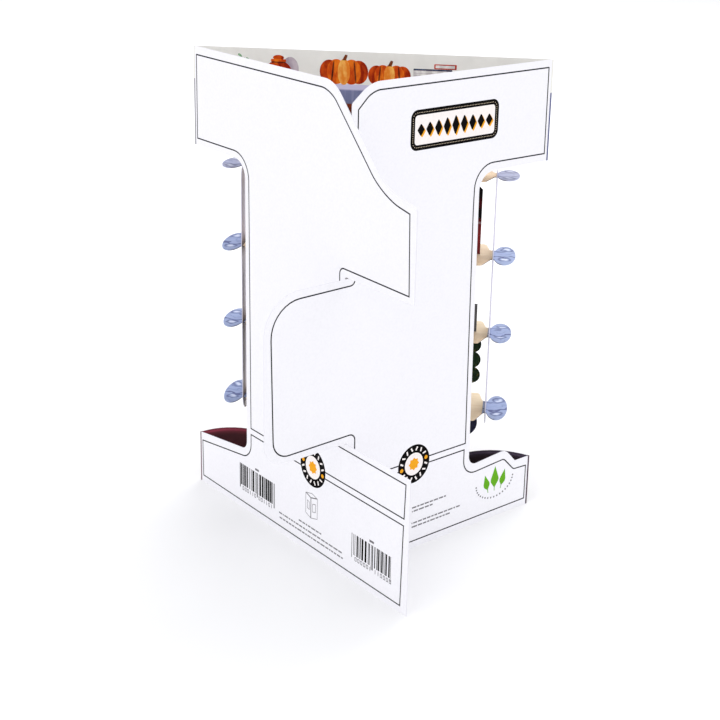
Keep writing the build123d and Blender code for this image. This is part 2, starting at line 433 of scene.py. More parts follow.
def ledge_and_wall(finish, sheet):
    """The painted ledge, with a pale upper edge and a greyer foot, and the wall above it."""
    z = finish.z
    low, high = sheet.ledge_bottom / MM, sheet.ledge_top / MM
    streaks = finish.noise(0.5, 2.0, (1.0, 1.0, 0.06)).rise(0.5, 0.72)
    ledge = finish.mix(streaks * 0.35, sheet.ledge, tone(162, 164, 192))
    ledge = finish.mix(z.rise(high - 3.1, high - 2.0), ledge, tone(206, 202, 230))
    foot = 1 - z.rise(low, low + 1.0)
    ledge = finish.mix(foot * 0.6, ledge, tone(96, 84, 84))
    wall = finish.mottled(sheet.wall, 0.035, 0.12)
    return finish.mix(z > high, ledge, wall)


def base_band(finish, sheet):
    """The base band's paint, and 1 where the band is.

    Its upper edge is arched at both sides and level between them, with a gleam below it.
    """
    x, z = finish.x, finish.z
    fold = sheet.width / 2 / MM
    arches = []
    for side, run, heights in ARCHES:
        inner = MIDDLE_X + side * (WALL_HALF - BODY_INSET)
        places = (side * fold, side * (fold - run), inner)
        a, b, c = parabola(list(zip(places, heights)))
        outer_x = x & inner if side < 0 else x | inner
        arches.append(a + outer_x * b + outer_x * outer_x * c)
    right = x.rise(-36, 36)
    below = arches[0] * (1 - right) + arches[1] * right - z
    dark = finish.mix(right, sheet.base_left, sheet.base_right)
    gleam = finish.mix(right, sheet.gleam_left, sheet.gleam_right)
    lit = below.bell(1.2, 0.7) * 0.9 | (1 - below.rise(0.2, 4.4)) * 0.5
    paint = finish.mix(lit, finish.mottled(dark, 0.12, 0.3), gleam)

    # The print is paler where it turns round a fold.
    worn = finish.mix(right, tone(126, 102, 112), tone(84, 66, 80))
    paint = finish.mix(abs(x) > fold - 0.9, paint, worn)
    body = (abs(x - MIDDLE_X) < WALL_HALF - BODY_INSET) & (below < 0.0)
    return paint, (z < BASE_TOP) & (1 - body)


def sheet_finish():
    """White card with the front panel's fields of colour, the same on both of its sides."""
    sheet = settings("sheet")
    finish = Finish("card_sheet_print", sheet.roughness)
    x, z = finish.x, finish.z
    depth = finish.y - FRONT_Y
    half = sheet.stock / 2 / MM
    fold = sheet.width / 2 / MM

    body = shelf_fields(finish, sheet, depth)
    fields = finish.mix(z > sheet.ledge_bottom / MM, body, ledge_and_wall(finish, sheet))
    beside = finish.mix(x > 0, sheet.fold_left, sheet.fold_right)
    strip = fold - sheet.fold_strip / MM
    near_fold = abs(x).rise(strip - 0.3, strip + 0.3) * (z < sheet.ledge_top / MM)
    fields = finish.mix(near_fold, fields, beside)
    base, is_base = base_band(finish, sheet)
    fields = finish.mix(is_base, fields, base)

    # The front panel's two faces and its folds carry print. All the rest is white, with painted
    # shade on the cut edges.
    face = (abs(depth) > half - SKIN) & (depth > -half - SKIN)
    from_fold = ((abs(x) - fold) ** 2.0 + depth ** 2.0) ** 0.5
    printed = face | (from_fold < sheet.wrap / MM)
    white = finish.mottled(sheet.white, sheet.fibre, 0.9)
    # Painted shade: the cut edges take a darker tone than the white card.
    white = finish.mix(cut_edges(finish, sheet, depth), white, sheet.cut)

    return finish.paint(finish.mix(printed, white, fields), sheet.fibre)


def side_wall_finish(side):
    """Lavender outside, and a greyer inside with a band of painted shade and painted shade round
    the slits.
    """
    wall = settings("wall")
    finish = Finish("left_wall_print" if side < 0 else "right_wall_print", 0.55)
    depth, z = finish.y - FRONT_Y, finish.z

    # The band of painted shade is stronger on the wall's lower half.
    strength = (1 - z.rise(112, 126)) * 0.7 + 0.25
    band = depth.bell(-wall.shade_depth / MM, wall.shade_width / MM) * strength
    inner = finish.mix(band, wall.inner, wall.shade)
    # Painted shade round the slits, where the shelves pass through the wall
    near_slit = 0.0
    for level in SHELF_Z[:3]:
        near_slit = (z.bell(level + 0.6, wall.slit_reach / MM) * 0.85) | near_slit
    slit_shadow = near_slit * (1 - depth.rise(-2.0, 3.0) * 0.5)
    inner = finish.mix(slit_shadow, inner, wall.slit)
    inner = finish.mix(1 - z.rise(46.0, 48.5), inner, wall.foot)
    inner = finish.mottled(inner, 0.05, 0.4)

    outer = finish.mottled(wall.outer, 0.02, 0.4)
    away = (finish.x - WALL_X[0 if side < 0 else 1]) * side
    return finish.paint(finish.mix(away > -0.1, inner, outer), 0.02)


def end_grain(finish, run, across):
    """1 on the dark grain lines of a shelf's end, and 1 on its pale knots."""
    wobble = (finish.noise(0.22, 1.0) - 0.5) * 0.5
    wave = (run * 5.2).maths("SINE") * 0.055 + wobble
    lines = 0.0
    knots = 0.0
    for level, knot_run, knot_level, sway, darkness in BENT_LINES:
        bend = run.bell(knot_run, 0.42) * sway
        curve = abs(across - level + wave + bend)
        lines = ((1 - curve.rise(0.03, 0.07)) * darkness) | lines
        along = (run - knot_run) / KNOT_RUN
        aside = (across - knot_level + wobble * 0.8) / KNOT_LEVEL
        size = (along ** 2.0 + aside ** 2.0) ** 0.5
        knots = (1 - size.rise(0.5, 1.0)) | knots
        lines = (size.bell(1.35, 0.3) * 0.85) | lines
    for level in FAINT_LINES:
        lines = ((across + wave * 1.3).bell(level, 0.03) * run.rise(0.1, 0.4) * 0.35) | lines
    return lines, knots


def shelf_finish(node, board, ends, contrast):
    """A board with a faint straight grain and a blue end with bent grain round two knots."""
    shelf = settings("shelf")
    index = SHELVES.index(node)
    low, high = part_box(node)
    reach = (high.x - low.x) / 2 / MM - WALL_HALF
    finish = Finish(node + "_print", 0.55)
    out = abs(finish.x - MIDDLE_X) - WALL_HALF
    across = (finish.y - FRONT_Y) / ((high.y - low.y) / 2 / MM)
    streaks = finish.noise(0.9, 3.0, (0.14, 1.0, 1.0)).rise(0.4, 0.7)
    fine = finish.noise(2.4, 2.0, (0.1, 1.0, 1.0)).rise(0.55, 0.75)

    tan = finish.mix(streaks * 0.25, board, tone(232, 196, 150))
    # Painted shade darkens the board towards its near edge; a fine grain line runs near its middle.
    near_shade_and_grain_line = (1 - across.rise(-0.6, 0.1)) * 0.25 | across.bell(0.06, 0.02) * 0.3
    tan = finish.mix(near_shade_and_grain_line, tan, tone(214, 170, 120))

    lines, knots = end_grain(finish, out / reach, across)
    blue = finish.mix(streaks * 0.4, ends, tone(138, 155, 206))
    blue = finish.mix(fine * 0.4, blue, tone(206, 218, 248))
    blue = finish.mix(lines * contrast, blue, shelf.grain)
    blue = finish.mix(knots * 0.8, blue, shelf.knot)
    # Painted shade on the ends, darker on the left and on the lower shelves
    left, right = PAINTED_END_SHADE[index]
    blue = finish.mix((finish.x < 0) * (left - right) + right, blue, shelf.grain)

    # On the lower shelves the blue sets in a little inside the wall.
    inset = max(0.0, 1.5 - 0.7 * index)
    paint = finish.mix(out > -inset, tan, blue)

    # The cut edge gets painted shade where the shelf narrows towards a side wall.
    half_stock = (high.z - low.z) / 2 / MM
    from_middle = abs(finish.z - (high.z + low.z) / 2 / MM)
    cut = (from_middle < half_stock - SKIN) * (1 - abs(out).rise(4.0, 5.5))
    return finish.paint(finish.mix(cut * 0.75, paint, shelf.cut), 0.02)


def ink_finish(name, shade):
    """Printed ink: a colour that varies a little, as ink does on uncoated card."""
    finish = Finish("ink_" + name, 0.6, 0.02)
    return finish.paint(finish.mottled(shade, 0.03, 0.8), 0.015)


def painted_finish(name, light, dark):
    """Painted colour for the pictures: soft strokes of a light and a dark tone."""
    finish = Finish("paint_" + name, 0.55, 0.06)
    strokes = finish.noise(0.42, 3.0, (1.0, 1.0, 0.45))
    paint = finish.mix(strokes.rise(0.36, 0.64), tone(*light), tone(*dark))
    return finish.paint(paint, 0.015)


def floor_finish(stage):
    """Pale paint that takes shadows, and is seen whiter far from the card."""
    finish = Finish("floor_paint", 0.9, 0.0)
    material = finish.paint(finish.mottled(stage.floor, 0.004, 0.002))
    distance = (finish.x ** 2.0 + finish.y ** 2.0) ** 0.5
    far = distance.rise(stage.glow_start / MM, stage.glow_full / MM)
    white = finish.mix(far, (0, 0, 0), (1, 1, 1))
    glow = finish.node("ShaderNodeEmission", inputs={0: white, 1: stage.floor_glow})
    bright = finish.node("ShaderNodeAddShader", inputs={0: finish.surface, 1: glow})
    finish.put(finish.output.inputs[0], finish.where_seen(finish.surface, bright))
    return material


def panel_side(origin, across, outward):
    """From millimetres across and up one side of a panel to places in the frame."""
    place = Matrix((across, UP, outward)).transposed().to_4x4()
    place.translation = origin + outward * (settings("sheet").stock / 2)
    return place @ Matrix.Scale(MM, 4)


def back_panel_angle(side):
    """Angle between the front panel and the left (-1) or right (1) back panel."""
    sheet = settings("sheet")
    near, far = (sheet.left_run, sheet.right_run) if side < 0 else (sheet.right_run, sheet.left_run)
    return math.acos((sheet.width**2 + near**2 - far**2) / (2 * sheet.width * near))


def back_panel_side(side):
    """The outer side of the left (-1) or right (1) back panel, measured from its own fold."""
    sheet = settings("sheet")
    angle = back_panel_angle(side)
    fold = Vector((side * sheet.width / 2, FRONT_Y * MM, 0))
    across = Vector((-side * math.cos(angle), -math.sin(angle), 0))
    outward = Vector((side * math.sin(angle), -math.cos(angle), 0))
    return panel_side(fold, across, outward)


def front_panel_side(facing):
    """A side of the front panel, seen from behind (-1) or from the front (1)."""
    return panel_side(Vector((0, FRONT_Y * MM, 0)), Vector((1, 0, 0)), Vector((0, facing, 0)))


def round_corner(shape, point, offset, segments):
    """Round one corner, starting at an offset from it along both of its edges."""
    bmesh.ops.bevel(
        shape, geom=[point], offset=offset, offset_type="OFFSET", segments=segments,
        profile=0.5, affect="VERTICES", material=-1,
    )


def as_mesh(name, shape):
    mesh = bpy.data.meshes.new(name)
    shape.to_mesh(mesh)
    shape.free()
    return mesh


def placed(name, data):
    """A new object of the scene with that data."""
    made = bpy.data.objects.new(name, data)
    bpy.context.scene.collection.objects.link(made)
    return made


def only_points(items):
    """The points among the items that an operator hands back."""
    return [item for item in items if isinstance(item, bmesh.types.BMVert)]


def turned(shape, centre, turn):
    """Turn a flat shape about a point of its plane."""
    matrix = Matrix.Rotation(turn, 3, "Z")
    bmesh.ops.rotate(shape, cent=(*centre, 0), matrix=matrix, verts=shape.verts)
    return shape


def drawn(corners, segments=9, radius=None):
    """A flat face. A corner is its place and, if it is rounded, a radius of its own or of all."""
    shape = bmesh.new()
    points = [shape.verts.new((corner[0], corner[1], 0)) for corner in corners]
    shape.faces.new(points)
    shape.normal_update()
    for point, corner in zip(points, corners):
        bend = corner[2] if len(corner) > 2 else radius
        if bend:
            first, second = (edge.other_vert(point).co - point.co for edge in point.link_edges)
            reach = bend / math.tan(first.angle(second) / 2)
            round_corner(shape, point, reach, segments)
    return shape


def block(left, right, bottom, top, radius=None):
    """A rectangle, with its corners rounded where a radius is given."""
    corners = ((left, bottom), (right, bottom), (right, top), (left, top))
    return drawn(corners, radius=radius)


def oval(x, y, half_width, half_height, turn=0.0, segments=36):
    """An ellipse round a middle."""
    shape = bmesh.new()
    bmesh.ops.create_circle(shape, cap_ends=True, radius=1, segments=segments)
    bmesh.ops.scale(shape, vec=(half_width, half_height, 1), verts=shape.verts)
    turned(shape, (0, 0), turn)
    bmesh.ops.translate(shape, vec=(x, y, 0), verts=shape.verts)
    return shape


def rim(shape, width):
    """Keep only a strip along a shape's edge."""
    middle = shape.faces[:]
    bmesh.ops.inset_region(
        shape, faces=middle, thickness=width, use_boundary=True, use_even_offset=True
    )
    bmesh.ops.delete(shape, geom=middle, context="FACES_ONLY")
    return shape


class Print:
    """Shapes printed on one side of a panel, gathered in one mesh."""

    SINK = 0.05  # how deep a film reaches into the card, in millimetres

    def __init__(self, name, place, inks):
        self.name, self.place, self.inks = name, place, inks
        self.whole = bmesh.new()
        self.film = settings("print").film / MM

    def add(self, shape, ink, layer=1):
        """Print a flat shape in an ink, above the layers below it."""
        slot = list(self.inks).index(ink)
        for face in shape.faces:
            face.material_index = slot
        lifted = bmesh.ops.extrude_face_region(shape, geom=shape.faces[:])["geom"]
        bmesh.ops.translate(shape, vec=(0, 0, -self.SINK), verts=shape.verts)
        rise = (0, 0, self.SINK + layer * self.film)
        bmesh.ops.translate(shape, vec=rise, verts=only_points(lifted))
        bmesh.ops.recalc_face_normals(shape, faces=shape.faces)
        bmesh.ops.transform(shape, matrix=self.place, verts=shape.verts)
        if self.place.determinant() < 0:
            bmesh.ops.reverse_faces(shape, faces=shape.faces)
        part = as_mesh("part", shape)
        self.whole.from_mesh(part)
        bpy.data.meshes.remove(part)

    def finish(self):
        """Make the gathered shapes one piece of the scene."""
        mesh = as_mesh(self.name, self.whole)
        for ink in self.inks.values():
            mesh.materials.append(ink)
        piece = placed(self.name, mesh)
        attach(piece, "root")


def shared_inks():
    """The inks of the back panels, made once."""
    colours = settings("print")
    return {
        name: bpy.data.materials.get("ink_" + name) or ink_finish(name, getattr(colours, name))
        for name in ("line", "black", "cream", "gold", "stitch", "grey", "green")
    }


def dress(node, material):
    """Give a piece of the frame its material."""
    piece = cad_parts[node]
    piece.data.materials.clear()
    piece.data.materials.append(material)


class CARD_OT_sheet(bpy.types.Operator):
    """Print the folded sheet's fields of colour"""

    bl_idname = "greeting_card.sheet"
    bl_label = "Folded sheet"

    def execute(self, context):
        dress("folded_card", sheet_finish())
        return {"FINISHED"}


class CARD_OT_side_walls(bpy.types.Operator):
    """Print the two side walls"""

    bl_idname = "greeting_card.side_walls"
    bl_label = "Side walls"

    def execute(self, context):
        dress("left_side_wall", side_wall_finish(-1))
        dress("right_side_wall", side_wall_finish(1))
        return {"FINISHED"}


class CARD_OT_shelves(bpy.types.Operator):
    """Print the four shelves"""

    bl_idname = "greeting_card.shelves"
    bl_label = "Shelves"

    def execute(self, context):
        shelf = context.scene.card_shelf
        for node in SHELVES:
            if node == SHELVES[-1]:
                look = (shelf.top_tan, shelf.lavender, 0.6)
            else:
                look = (shelf.tan, shelf.blue, 0.85)
            dress(node, shelf_finish(node, *look))
        return {"FINISHED"}


class CARD_OT_outlines(bpy.types.Operator):
    """Print the thin outlines that follow the edges of the back panels"""

    bl_idname = "greeting_card.outlines"
    bl_label = "Outlines"

    # Corners of each outline: millimetres from the panel's own fold, height and, if the
    # corner is rounded, its radius
    LEFT = (
        # panel above the base box, with the upper finger and the base finger's top
        (
            (2.0, 221.4), (1.8, 180.8), (45.9, 180.8, 11.8), (46.7, 45.4), (164.7, 45.4),
            (165.3, 62.2), (116.8, 62.6), (116.8, 145.4, 2.6), (163.4, 144.7), (162.3, 179.5),
            (144.7, 183.0, 34.0), (108.4, 221.3, 15.0),
        ),
        # box on the base band
        ((2.1, 3.3), (163.6, 3.1), (164.5, 42.7), (46.7, 42.8), (46.7, 30.1, 8.0), (1.8, 23.5)),
    )
    RIGHT = (
        # panel above the base box, with the tab
        (
            (2.4, 221.8), (2.1, 181.0), (46.4, 181.4, 11.0), (46.7, 160.9), (44.9, 45.1),
            (114.5, 45.2), (114.5, 68.7, 2.8), (159.3, 68.0, 8.4), (160.9, 138.4, 15.5),
            (116.1, 138.9, 2.0), (115.9, 214.3), (108.1, 221.7, 11.0),
        ),
        # box on the base band
        (
            (1.8, 3.3), (114.5, 3.3), (114.5, 42.5), (45.5, 42.5), (45.4, 28.3, 7.5),
            (18.0, 30.0, 3.2), (10.8, 22.6, 2.6), (1.9, 22.1),
        ),
    )

    def execute(self, context):
        width = context.scene.card_print.line_width / MM
        inks = {"line": shared_inks()["line"]}
        for name, side, outlines in (
            ("left_outline_print", -1, self.LEFT), ("right_outline_print", 1, self.RIGHT),
        ):
            outline_print = Print(name, back_panel_side(side), inks)
            for corners in outlines:
                outline_print.add(rim(drawn(corners), width), "line")
            outline_print.finish()
        return {"FINISHED"}


class CARD_OT_plate(bpy.types.Operator):
    """Print the framed plate with a row of lozenges on the right panel"""

    bl_idname = "greeting_card.plate"
    bl_label = "Plate"

    EDGES = (33.85, 86.4, 192.8, 210.6)  # left, right, bottom and top
    BEND = 3.7  # radius of the plate's corners
    OPENING_BEND = 1.6  # radius of the cream field's corners
    LAST, PITCH = 4, 5.1  # lozenges on each side of the middle one, and their distance
    HALF_WIDTH, HALF_HEIGHT = 2.1, 4.7  # of the middle lozenge
    FALL = 0.45  # by which each one's half height is less than that of the one before
    SHADOW = 0.7  # how far a gold shadow lies below and aside
    LOZENGE_ROUND = 0.5  # radius of a lozenge's corners

    def execute(self, context):
        border = context.scene.card_print.plate_border / MM
        plate = Print("plate_print", back_panel_side(1), shared_inks())
        plate.add(block(*self.EDGES, self.BEND), "black")
        plate.add(block(*self.inside(border), self.OPENING_BEND), "cream", 2)
        self.stitches(plate, border * 0.55)
        left, right, bottom, top = self.EDGES
        for i in range(-self.LAST, self.LAST + 1):
            x = (left + right) / 2 + i * self.PITCH
            y = (bottom + top) / 2
            tall = self.HALF_HEIGHT - self.FALL * abs(i)
            self.lozenge(plate, x - self.SHADOW, y - self.SHADOW, tall, "gold", 3)
            self.lozenge(plate, x, y, tall, "black", 4)
        plate.finish()
        return {"FINISHED"}

    def inside(self, inset):
        """The plate's edges, moved in."""
        left, right, bottom, top = self.EDGES
        return left + inset, right - inset, bottom + inset, top - inset

    def lozenge(self, plate, x, y, tall, ink, layer):
        wide = self.HALF_WIDTH
        corners = ((x - wide, y), (x, y - tall), (x + wide, y), (x, y + tall))
        plate.add(drawn(corners, 4, self.LOZENGE_ROUND), ink, layer)

    def stitches(self, plate, inset):
        """Short pale stitches that follow the border round its corners."""
        left, right, bottom, top = self.inside(inset)
        bend = self.BEND - inset
        wide, tall = right - left - 2 * bend, top - bottom - 2 * bend
        pitch = 0.95
        across, up = round(wide / pitch), round(tall / pitch)
        spots = []
        for i in range(across + 1):
            x = left + bend + i * wide / across
            spots += [(x, bottom, 0.0), (x, top, 0.0)]
        for i in range(up + 1):
            y = bottom + bend + i * tall / up
            spots += [(left, y, math.pi / 2), (right, y, math.pi / 2)]
        corners = [
            (x, y, side_x, side_y)
            for x, side_x in ((right - bend, 1), (left + bend, -1))
            for y, side_y in ((top - bend, 1), (bottom + bend, -1))
        ]
        for x, y, side_x, side_y in corners:
            for angle in (math.pi / 6, math.pi / 3):
                run, rise = side_x * bend * math.cos(angle), side_y * bend * math.sin(angle)
                spots.append((x + run, y + rise, side_x * side_y * (angle + math.pi / 2)))
        for x, y, turn in spots:
            plate.add(oval(x, y, 0.25, 0.14, turn, segments=8), "stitch", 2)


# Faces of the drawn card, from its lower left corner
DRAWN_FACES = (
    ((0, 1.5), (4.2, 0), (4.2, 10.6), (0, 12.0)),
    ((4.2, 0), (9.4, 1.4), (9.4, 12.0), (4.2, 10.6)),
    ((0, 12.0), (4.2, 10.6), (9.4, 12.0), (5.0, 13.2)),
    ((1.3, 4.4), (3.1, 3.8), (3.1, 8.0), (1.3, 8.6)),
    ((5.4, 3.6), (8.0, 4.3), (8.0, 8.6), (5.4, 7.9)),
)


def bars(panel, draw, left, right, bottom, top):
    """A field of upright bars of made-up widths, with longer ones at its ends and middle."""
    unit = 0.33  # width of the thinnest bar and of the thinnest gap
    middle = (left + right) / 2
    x = left
    while x < right - unit:
        width = min(unit * draw.choice((1, 1, 2, 3, 4)), right - x)
        at_end = x < left + 3 * unit or x > right - 5 * unit
        is_long = at_end or abs(x - middle) < 2 * unit
        panel.add(block(x, x + width, bottom - (1.7 if is_long else 0), top), "black")
        x += width + unit * draw.choice((1, 1, 2, 3))

    # Twelve small open boxes or strokes below the bars, in two groups
    for i in range(12):
        x = left + 2.4 + i * 2.1 + (1.6 if i > 5 else 0.0)
        low, high = bottom - 2.6, bottom - 0.6
        if draw.random() < 0.6:
            panel.add(rim(block(x, x + 1.4, low, high), 0.34), "grey")
        else:
            panel.add(block(x + 0.5, x + 0.9, low, high), "grey")
    panel.add(block(middle - 1.6, middle + 1.6, top + 1.0, top + 2.1), "grey")


def ring(panel, x, y):
    """A black ring with pale dashes and two gold spots, round an eight-pointed gold spot."""
    colours = settings("print")
    outer, hole = colours.ring_radius / MM, colours.ring_hole / MM
    panel.add(oval(x, y, outer, outer, segments=64), "black")
    panel.add(oval(x, y, hole, hole, segments=48), "cream", 2)
    middle = (outer + hole) / 2
    count = 16
    for i in range(count):
        angle = math.tau * i / count - 0.2
        place = (x + middle * math.cos(angle), y + middle * math.sin(angle))
        if i % 8 == 0:
            panel.add(oval(*place, 1.0, 1.0, segments=12), "gold", 2)
        else:
            dash = block(place[0] - 1.0, place[0] + 1.0, place[1] - 0.4, place[1] + 0.4)
            slant = 0.35 if i % 2 else -0.35
            panel.add(turned(dash, place, angle + slant), "cream", 2)
    half = 2.3
    for turn, layer in ((0, 4), (math.pi / 4, 3)):
        square = block(x - half, x + half, y - half, y + half)
        panel.add(turned(square, (x, y), turn), "gold", layer)


def small_card(panel, x, y):
    """A small line drawing of the standing card."""
    for face in DRAWN_FACES:
        corners = [(x + across, y + up) for across, up in face]
        panel.add(rim(drawn(corners), 0.28), "grey")


def fine_line(panel, draw, start, end, level):
    """A line of short grey dashes in place of fine print."""
    height, gap = 0.74, 0.55
    x = start
    while x < end:
        run = min(draw.uniform(0.9, 3.4), end - x + 0.3)
        panel.add(block(x, x + run, level, level + height), "grey")
        x += run + gap


def leaves(panel, x, y):
    """Three pointed leaves on stalks, with a dotted arc below them."""
    for shift, tall, lean in ((0.0, 13.2, 0.0), (4.2, 10.4, 0.26), (-4.2, 10.4, -0.26)):
        foot_x, foot_y = x + shift, y + 0.6
        half = tall * 0.23
        widest = foot_y + tall * 0.42
        blade = drawn([
            (foot_x, foot_y + 1.6), (foot_x + half, widest, 2.2),
            (foot_x, foot_y + tall), (foot_x - half, widest, 2.2),
        ], 6)
        stalk = block(foot_x - 0.22, foot_x + 0.22, foot_y, foot_y + 2.4)
        for shape in (blade, stalk):
            panel.add(turned(shape, (foot_x, foot_y), -lean), "green")
    dots = 19
    for i in range(dots):
        angle = math.pi * (1.02 + 0.96 * i / (dots - 1))
        place = (x + 12.6 * math.cos(angle), y + 6.2 + 9.0 * math.sin(angle))
        panel.add(oval(*place, 0.5, 0.5, segments=8), "grey")


class CARD_OT_base_marks(bpy.types.Operator):
    """Print the small marks on the base bands: bars, rings, fine lines, a drawing and leaves"""

    bl_idname = "greeting_card.base_marks"
    bl_label = "Base marks"

    # Places from the panel's own fold and heights, in millimetres
    BARS = ((36.8, 67.4, 12.5, 23.9), (128.4, 157.2, 13.4, 24.0))
    LEFT_RING, RIGHT_RING = (98.3, 44.5), (78.1, 43.9)
    DRAWING = (92.8, 18.0)
    LEAVES = (23.8, 13.6)
    # Start, end and height of each fine line
    LEFT_LINES = ((71.0, 121.5, 10.2), (71.5, 121.8, 7.7), (87.4, 105.0, 12.9))
    RIGHT_LINES = ((56.6, 78.0, 20.8), (65.2, 78.0, 18.9), (47.1, 78.0, 12.7), (53.6, 78.0, 10.7))

    def execute(self, context):
        draw = random.Random(context.scene.card_print.bar_seed)
        left = Print("left_base_print", back_panel_side(-1), shared_inks())
        for place in self.BARS:
            bars(left, draw, *place)
        ring(left, *self.LEFT_RING)
        small_card(left, *self.DRAWING)
        for place in self.LEFT_LINES:
            fine_line(left, draw, *place)
        left.finish()
        right = Print("right_base_print", back_panel_side(1), shared_inks())
        ring(right, *self.RIGHT_RING)
        for place in self.RIGHT_LINES:
            fine_line(right, draw, *place)
        leaves(right, *self.LEAVES)
        right.finish()
        return {"FINISHED"}


# Ribs of a gourd: place and half width as shares of its width, height as a share of its own
RIBS = (
    (0.31, 0.20, 0.90, "rust", 1),
    (0.16, 0.20, 0.96, "orange", 2),
    (0.0, 0.13, 1.0, "amber", 3),
)


def gourd(picture, x, base, width, height):
    """A round gourd: ribs from its sides to its middle, and a stalk."""
    middle = base + height / 2 - 0.3
    for shift, half, tall, ink, layer in RIBS:
        for side in (-1, 1) if shift else (1,):
            rib = oval(x + side * shift * width, middle, half * width, tall * height / 2)
            picture.add(rib, ink, layer)
    for side in (-1, 1):
        groove = oval(x + side * 0.235 * width, middle, 0.018 * width, 0.42 * height, side * 0.1)
        picture.add(groove, "brown", 3)
    top = base + height - 0.5
    stalk = [
        (x - 0.9, top - 0.5), (x + 0.9, top - 0.5),
        (x + 1.7, top + 1.9, 0.3), (x + 0.5, top + 2.2, 0.3),
    ]
    picture.add(drawn(stalk, 3), "brown", 4)


def jar(picture, x, base):
    """A round clay jar with a lid, and its shade on the wall."""
    picture.add(oval(x + 5.6, base + 6.0, 4.0, 5.8), "shade", 1)
    picture.add(oval(x, base + 4.9, 6.2, 5.0), "rust", 2)
    picture.add(oval(x - 1.6, base + 5.4, 2.2, 3.8), "orange", 3)
    picture.add(block(x - 3.6, x + 3.6, base + 9.3, base + 10.6, 0.5), "orange", 3)
    picture.add(oval(x, base + 11.3, 2.6, 1.2), "rust", 2)
    picture.add(block(x - 3.4, x + 3.4, base + 8.9, base + 9.4), "brown", 4)


def sprig(picture, x, base):
    """Sprigs with small round leaves in a low pale dish."""
    for shift, tall, lean in ((-2.4, 10.2, -0.2), (0.0, 12.4, 0.03), (2.4, 10.6, 0.2)):
        foot_x, foot_y = x + shift, base + 2.0
        stalk = block(foot_x - 0.16, foot_x + 0.16, foot_y, foot_y + tall - 3.0)
        picture.add(turned(stalk, (foot_x, foot_y), -lean), "leaf", 1)
        for i in range(5):
            side = 1 if i % 2 else -1
            level = foot_y + 2.4 + i * (tall - 5.0) / 4
            leaf = oval(foot_x + side * 0.9, level, 1.0, 0.55, side * 0.6)
            picture.add(turned(leaf, (foot_x, foot_y), -lean), "leaf", 2)
    dish = [(x - 3.6, base), (x + 3.6, base), (x + 5.0, base + 4.0), (x - 5.0, base + 4.0)]
    picture.add(drawn(dish), "shade", 3)


def books(picture, left, right, base):
    """Two lying books and a thin red one on top of them."""
    for bottom, top, shift, cover in (
        (base, base + 3.8, 1.2, "red"), (base + 3.9, base + 8.6, 0.0, "slate"),
    ):
        start, end = left + shift, right + shift
        picture.add(block(start, end, bottom, top, 0.3), cover, 1)
        picture.add(block(start - 0.05, end - 1.0, bottom + 0.7, top - 0.8), "pages", 2)
        for i in range(3):
            level = bottom + 1.3 + i * (top - bottom - 2.2) / 2
            picture.add(block(start + 0.2, end - 1.4, level, level + 0.18), "shade", 3)
    picture.add(block(left + 9.6, right + 2.0, base + 8.7, base + 11.0, 0.3), "red", 1)
    picture.add(block(left + 10.2, right + 1.2, base + 9.2, base + 10.5), "pages", 2)


class CARD_OT_pictures(bpy.types.Operator):
    """Print the still life on the ledge, on both sides of the front panel"""

    bl_idname = "greeting_card.pictures"
    bl_label = "Pictures"

    # Light and dark tone of each paint
    PAINTS = {
        "rust": ((206, 76, 16), (146, 34, 6)),
        "orange": ((232, 116, 26), (196, 66, 14)),
        "amber": ((246, 184, 92), (230, 128, 40)),
        "brown": ((122, 60, 30), (76, 30, 16)),
        "leaf": ((150, 190, 150), (96, 150, 104)),
        "slate": ((70, 84, 110), (44, 52, 74)),
        "pages": ((238, 236, 230), (206, 202, 198)),
        "shade": ((196, 184, 190), (168, 152, 164)),
        "red": ((204, 66, 40), (160, 40, 24)),
    }

    def execute(self, context):
        base = context.scene.card_sheet.ledge_top / MM
        inks = {name: painted_finish(name, *tones) for name, tones in self.PAINTS.items()}
        for name, facing in (("inner_picture_print", -1), ("display_picture_print", 1)):
            picture = Print(name, front_panel_side(facing), inks)
            gourd(picture, -12.6, base, 22.4, 12.2)
            gourd(picture, 8.8, base, 19.6, 10.2)
            jar(picture, -43.6, base)
            sprig(picture, -61.4, base)
            books(picture, 20.0, 38.0, base)
            picture.finish()
        return {"FINISHED"}


